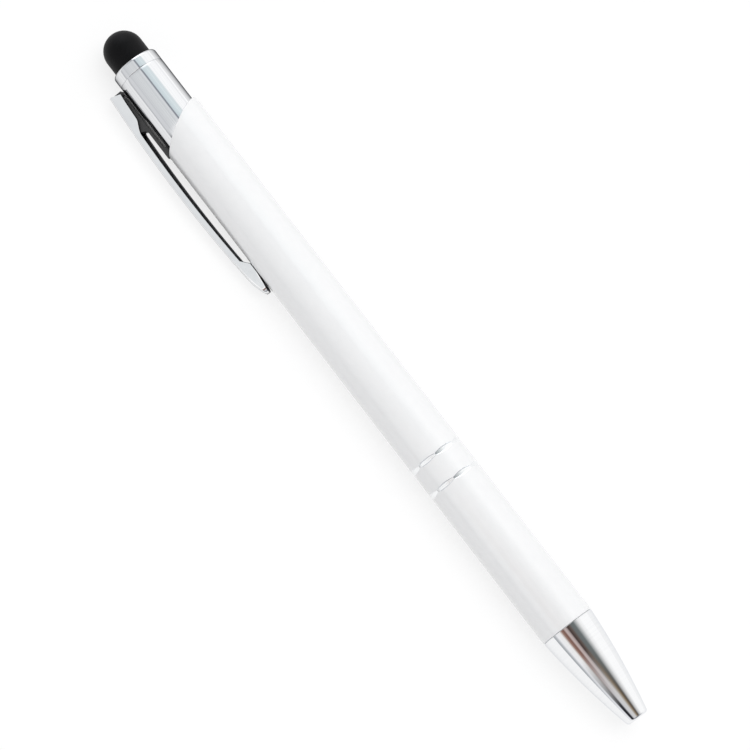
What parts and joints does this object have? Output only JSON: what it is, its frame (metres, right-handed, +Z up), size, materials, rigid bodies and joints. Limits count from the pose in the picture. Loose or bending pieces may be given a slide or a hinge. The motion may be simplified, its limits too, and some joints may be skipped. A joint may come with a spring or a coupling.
{
  "type": "stylus pen",
  "caption": "Slim press-top ball pen with a rubber touch-screen dome on its plunger, a slanted barrel edge, bright-cut rings and a sprung pocket clip.",
  "frame": {"origin": "on the pen's axis at the barrel's front face, where the nose cone meets it", "axes": "+X along the pen towards the stylus dome, +Z up as the pen lies on a table, the clip on the +Y side pointing sideways and down so that its edge touches the table"},
  "size_m": [0.1424, 0.0121, 0.0096],
  "materials": {
    "white_lacquer": "satin white lacquer on aluminium, facets cut bright",
    "chrome": "polished chrome plating",
    "dome_rubber": "matt conductive rubber",
    "dark_plastic": "moulded black plastic",
    "white_nylon": "moulded natural nylon",
    "clear_tube": "milky extruded plastic",
    "ink": "blue-black ink paste",
    "brass": "turned brass",
    "ball_steel": "ground hard metal",
    "spring_steel": "drawn spring wire"
  },
  "bodies": {
    "barrel": {"barrel": "white_lacquer", "nose_cone": "chrome", "cam_body": "white_nylon", "clip_carrier": "dark_plastic", "return_spring": "spring_steel"},
    "clip": {"clip": "chrome"},
    "button": {"plunger_tube": "chrome", "stylus_collar": "chrome", "stylus_core": "dark_plastic", "stylus_dome": "dome_rubber", "thruster": "white_nylon"},
    "refill": {"refill_tube": "clear_tube", "refill_point": "brass", "ink_column": "ink", "rotor": "white_nylon"},
    "ball": {"writing_ball": "ball_steel"}
  },
  "joints": [
    {"name": "button_press", "type": "slide", "parent": "barrel", "child": "button", "axis": [-1, 0, 0], "range_m": [0, 0.0055], "stiffness_N_per_m": 300, "springref_m": -0.005},
    {"name": "refill_advance", "type": "slide", "parent": "barrel", "child": "refill", "axis": [-1, 0, 0], "range_m": [0, 0.0055], "deforming": ["return_spring"]},
    {"name": "ball_spin", "type": "hinge", "parent": "refill", "child": "ball", "pos_m": [-0.0161, 0, 0], "axis": [0, 1, 0], "continuous": true},
    {"name": "clip_flex", "type": "hinge", "parent": "barrel", "child": "clip", "pos_m": [0.11525, 0.00459, -0.00229], "axis": [0, -0.4468, -0.8946], "range_deg": [0, 3], "stiffness_Nm_per_rad": 5}
  ],
  "couplings": [
    {"joint": "refill_advance", "follows": "button_press", "ratio": 1}
  ]
}
